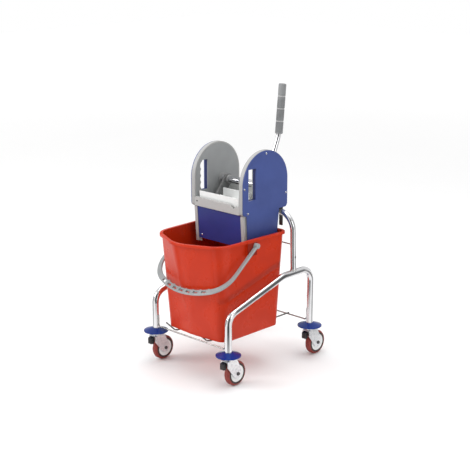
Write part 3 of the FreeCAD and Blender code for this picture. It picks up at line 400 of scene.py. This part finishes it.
def spun(name, start, along, profile, material, body, sides=48, ripple=None):
    """Spins (distance, radius) pairs, in millimetres, round the line from start along a way."""
    along = Vector(along).normalized()
    turn = along.to_track_quat("Z", "Y")
    points = []
    for away, radius in profile:
        for step in range(sides):
            angle = 2 * math.pi * step / sides
            share = ripple(away, angle) if ripple else 1.0
            spot = Vector((math.cos(angle), math.sin(angle), 0)) * radius * share
            spot.z = away
            points.append(Vector(start) + turn @ (spot / 1000))
    faces = []
    for ring in range(len(profile) - 1):
        for step in range(sides):
            following = (step + 1) % sides
            low, high = ring * sides, (ring + 1) * sides
            faces.append((low + step, low + following, high + following, high + step))
    faces.append(tuple(reversed(range(sides))))
    faces.append(tuple(range((len(profile) - 1) * sides, len(profile) * sides)))
    return smooth_piece(name, points, faces, material, body)


print("spinning helper ready")

# %% [markdown]
# ## The grip
# The real grip is a soft sleeve in four lengths. Each length has shallow flutes along it so
# that a wet hand doesn't slip, and a narrow paler ring sits between each pair. The ring is a
# separate, slightly smaller hoop, which reads as a joint. The sleeve stands for the plain CAD
# grip and keeps its line, its length and its largest radius.

# %% Fluted grip
GRIP_PARTS = 4
GRIP_FLUTES = 18
grip_low, grip_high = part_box("lever_grip")
_, tube_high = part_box("lever_tube")
# The sleeve leans with the lever's top run: 16 mm rearward for 160 mm of rise.
GRIP_WAY = Vector((0, 0.0995, 0.995))
GRIP_TOP = Vector((0.0875, 0.13345, 0.90648))
GRIP_LONG = 158.0
GRIP_R = 12.4


def fluted(away, angle):
    edge = min(away % (GRIP_LONG / GRIP_PARTS), GRIP_LONG / GRIP_PARTS - away % (GRIP_LONG / GRIP_PARTS))
    depth = 0.055 * min(1.0, max(0.0, (edge - 2.5) / 2.0))
    return 1 - depth * (0.5 + 0.5 * math.cos(GRIP_FLUTES * angle)) ** 2


def make_grip():
    start = GRIP_TOP - GRIP_WAY * GRIP_LONG / 1000
    part = GRIP_LONG / GRIP_PARTS
    profile = [(0, 8.2), (0, GRIP_R - 1.2), (0.5, GRIP_R - 0.5), (1.4, GRIP_R)]
    for index in range(GRIP_PARTS):
        low, high = index * part, (index + 1) * part
        steps = [low + 2.2, low + 3.0, low + 4.5]
        steps += [low + part * share for share in (0.2, 0.4, 0.5, 0.6, 0.8)]
        steps += [high - 4.5, high - 3.0, high - 2.2]
        profile += [(step, GRIP_R) for step in steps]
        if index < GRIP_PARTS - 1:
            profile += [(high - 1.9, GRIP_R - 1.6), (high + 1.9, GRIP_R - 1.6)]
    profile += [(GRIP_LONG - 1.6, GRIP_R), (GRIP_LONG - 0.6, GRIP_R - 1.0),
                (GRIP_LONG, GRIP_R - 2.6), (GRIP_LONG, 2.0)]
    sleeve = spun("grip_sleeve", start, GRIP_WAY, profile, GRIP_GREY, "press",
                  sides=144, ripple=fluted)
    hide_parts("lever_grip")
    for index in range(1, GRIP_PARTS):
        middle = index * part
        ring = [(middle - 1.8, GRIP_R - 2.0), (middle - 1.7, GRIP_R - 0.9), (middle - 1.1, GRIP_R - 0.5),
                (middle + 1.1, GRIP_R - 0.5), (middle + 1.7, GRIP_R - 0.9), (middle + 1.8, GRIP_R - 2.0)]
        spun(f"grip_ring_{index}", start, GRIP_WAY, ring, RING_GREY, "press")


make_grip()
print("grip:", GRIP_LONG, "mm long;", "CAD grip box", grip_low, grip_high, "tube top", tube_high)

# %% [markdown]
# ## Screws, collars and welds
# The last things a maker adds hold the rest together: a black screw in the front bar, a rivet
# low on the panel beside each post, a collar on the shaft inside each crank arm, and the weld
# beads where one tube meets another. They are small, but they are what an eye looks for on a
# welded and moulded product. Radii and heights are in millimetres, and places in metres.

# %% Fittings


def dome(name, spot, way, radius, height, material, body, sides=32):
    """A domed head with a small dimple in its middle."""
    profile = [(-0.4, radius), (0.25 * height, radius)]
    for angle in (math.radians(15 * step) for step in range(1, 6)):
        profile.append((0.25 * height + 0.75 * height * math.sin(angle), radius * math.cos(angle)))
    profile.append((0.8 * height, 0.18 * radius))
    return spun(name, spot, way, profile, material, body, sides)


def weld(name, spot, way, radius, bead, body):
    """A rippled bead round a tube where it meets another one."""
    profile = []
    for step in range(9):
        angle = math.pi * step / 8
        profile.append((-bead * math.cos(angle), radius + bead * math.sin(angle)))
    return spun(name, spot, way, profile, WELD, body, 96,
                lambda away, turn: 1 + 0.012 * math.sin(34 * turn + away))


WELD = plated("weld_bead", (0.70, 0.69, 0.67), (0.50, 0.49, 0.47), 0.30, 0.46, 3, 0.9, 0.03)
FORWARD = (0, -1, 0)
UPWARD = (0, 0, 1)
SCREW_X = 0.088
SCREW_Z = 0.534
PANEL_RIVET_X = 0.08096
PANEL_RIVET_Y = -0.0604
PANEL_RIVET_Z = 0.4205
COLLAR_X = 0.0695
SHAFT_Y = 0.052
SHAFT_Z = 0.588
COLLAR = [(0, 12.05), (0, 13.6), (0.6, 14.2), (5.4, 14.2), (6.0, 13.6), (6.0, 12.05)]
HOOP_FOOT = (0.16488, 0.108, 0.3162)
LEVER_FOOT = (0.0875, 0.0568, 0.5994)
LEVER_WAY = (0, 0.3889, 0.9213)
LEVER_BEAD = [(-1.6, 8.0), (-1.2, 9.3), (0, 9.9), (1.2, 9.3), (2.0, 8.0)]

frame_low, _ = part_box("front_frame")
dome("bar_screw_left", (-SCREW_X, frame_low.y, SCREW_Z), FORWARD, 2.6, 1.6, BLACK_PAINT,
     "wringer")
for side, sign in (("left", -1), ("right", 1)):
    dome(f"panel_rivet_{side}", (sign * PANEL_RIVET_X, PANEL_RIVET_Y, PANEL_RIVET_Z), FORWARD,
         2.8, 1.5, RIVET, "wringer")
    spun(f"shaft_collar_{side}", (sign * COLLAR_X, SHAFT_Y, SHAFT_Z), (-sign, 0, 0), COLLAR,
         BUSH_GREY, "press")
for side, sign in (("left", -1), ("right", 1)):
    weld(f"hoop_weld_{side}", (sign * HOOP_FOOT[0], *HOOP_FOOT[1:]), UPWARD, 9.4, 1.9, "trolley")
spun("lever_weld", LEVER_FOOT, LEVER_WAY, LEVER_BEAD, WELD, "press", 96,
     lambda away, turn: 1 + 0.012 * math.sin(30 * turn))
print("fittings done")

# %% [markdown]
# ## The studio
# A pale seamless floor, which glows a little far from the lights so that it stays as pale there,
# and big soft lights give the plastic broad soft highlights. Chrome
# shows the room itself: in a white room it would look like white paint. So the sky that only
# mirror-like surfaces see has dark upright bands, as the dark room behind a camera and the
# edges of the lights would make, and these draw the dark lines along the tubes.

# %% Floor, sky and lights
FLOOR_HALF = 9.0
# Bearing in degrees and brightness of the room that the chrome reflects.
ROOM = ((-180, 0.95), (-150, 0.95), (-138, 0.25), (-128, 0.95), (-70, 1.0), (-58, 0.10),
        (-44, 0.10), (-34, 1.0), (8, 1.0), (26, 0.06), (60, 0.05), (78, 1.0), (112, 1.0),
        (122, 0.12), (136, 0.12), (146, 0.95))


def room_tone(board, x, y):
    """Brightness of the room that a mirror sees, by the bearing from the trolley."""
    bearing = x.math("ARCTAN2", x, 0.0 - y) / (2 * math.pi) + 0.5
    stops = [((degrees + 180) / 360, (level,) * 3) for degrees, level in ROOM]
    return board.node("ShaderNodeValToRGB", {"stops": stops}, {0: bearing})


def make_floor():
    mesh = bmesh.new()
    bmesh.ops.create_grid(mesh, x_segments=1, y_segments=1, size=FLOOR_HALF)
    data = bpy.data.meshes.new("floor")
    mesh.to_mesh(data)
    mesh.free()
    floor = bpy.data.objects.new("floor", data)
    bpy.context.scene.collection.objects.link(floor)
    floor.location.z = -0.0005
    finish = Finish("floor_white", roughness=0.7, emission_strength=1.0)
    finish.feed("Base Color", finish.blend(finish.noise(400), (0.93, 0.93, 0.93), (0.91, 0.91, 0.91)))
    x, y, _ = finish.axes(finish.place())
    away = (x ** 2.0 + y ** 2.0) ** 0.5
    glow = finish.span(away, 1.5, 7.0)
    finish.feed("Emission Color", finish.blend(glow, (0.0, 0.0, 0.0), (0.34, 0.34, 0.34)))
    room = finish.node("ShaderNodeEmission", sockets={0: room_tone(finish, x, y)})
    seen = finish.node("ShaderNodeLightPath", out=3) * finish.span(away, 0.30, 0.75)
    mixed = finish.node("ShaderNodeMixShader", sockets={
        0: seen, 1: Signal(finish, finish.shader.outputs[0]), 2: room})
    finish.join(mixed, finish.tree.nodes["Material Output"].inputs[0])
    data.materials.append(finish.material)
    return floor


def make_sky(strength):
    world = bpy.data.worlds.new("studio_sky")
    bpy.context.scene.world = world
    world.use_nodes = True
    board = Board(world.node_tree)
    x, y, z = board.axes(board.node("ShaderNodeTexCoord"))
    room = board.blend(board.span(z, 0.55, 0.85), room_tone(board, x, y), (1.0, 1.0, 1.0))
    sky = board.blend(board.node("ShaderNodeLightPath", out=3), (1.0, 1.0, 1.0), room)
    sky = board.blend(board.node("ShaderNodeLightPath"), sky, (1.25, 1.25, 1.25))
    background = world.node_tree.nodes["Background"]
    board.join(sky, background.inputs[0])
    background.inputs[1].default_value = strength


def make_light(name, place, aim, width, height, watts):
    data = bpy.data.lights.new(name, "AREA")
    data.shape = "RECTANGLE"
    data.size = width
    data.size_y = height
    data.energy = watts
    light = bpy.data.objects.new(name, data)
    bpy.context.scene.collection.objects.link(light)
    light.location = place
    light.rotation_euler = (Vector(aim) - Vector(place)).to_track_quat("-Z", "Y").to_euler()


make_floor()
make_sky(0.80)
make_light("left_softbox", (-2.0, -2.6, 2.2), (0, 0, 0.45), 1.4, 1.6, 48)
make_light("right_softbox", (2.9, -0.6, 1.8), (0, 0, 0.45), 1.0, 1.6, 10)
make_light("top_softbox", (0.2, 0.2, 3.2), (0, 0, 0.3), 2.4, 2.4, 45)
bpy.context.scene.view_settings.view_transform = "Standard"
print("studio ready")

# %% [markdown]
# ## The camera
# A long lens from about four metres away keeps the trolley's upright edges nearly parallel. The
# camera stands to the front right, a little above the bucket's rim.

# %% Camera
AIM = Vector((0.00788, 0.0, 0.42298))
TURN = math.radians(43.886)
RISE = math.radians(15.48)
AWAY = 3.8665
LENS_MM = 91.9


def make_camera():
    data = bpy.data.cameras.new("camera")
    data.lens = LENS_MM
    data.sensor_width = 36
    camera = bpy.data.objects.new("camera", data)
    bpy.context.scene.collection.objects.link(camera)
    toward = Vector((math.sin(TURN) * math.cos(RISE), -math.cos(TURN) * math.cos(RISE), math.sin(RISE)))
    camera.location = AIM + AWAY * toward
    camera.rotation_euler = (-toward).to_track_quat("-Z", "Y").to_euler()
    bpy.context.scene.camera = camera
    return camera


print("camera at", make_camera().location)
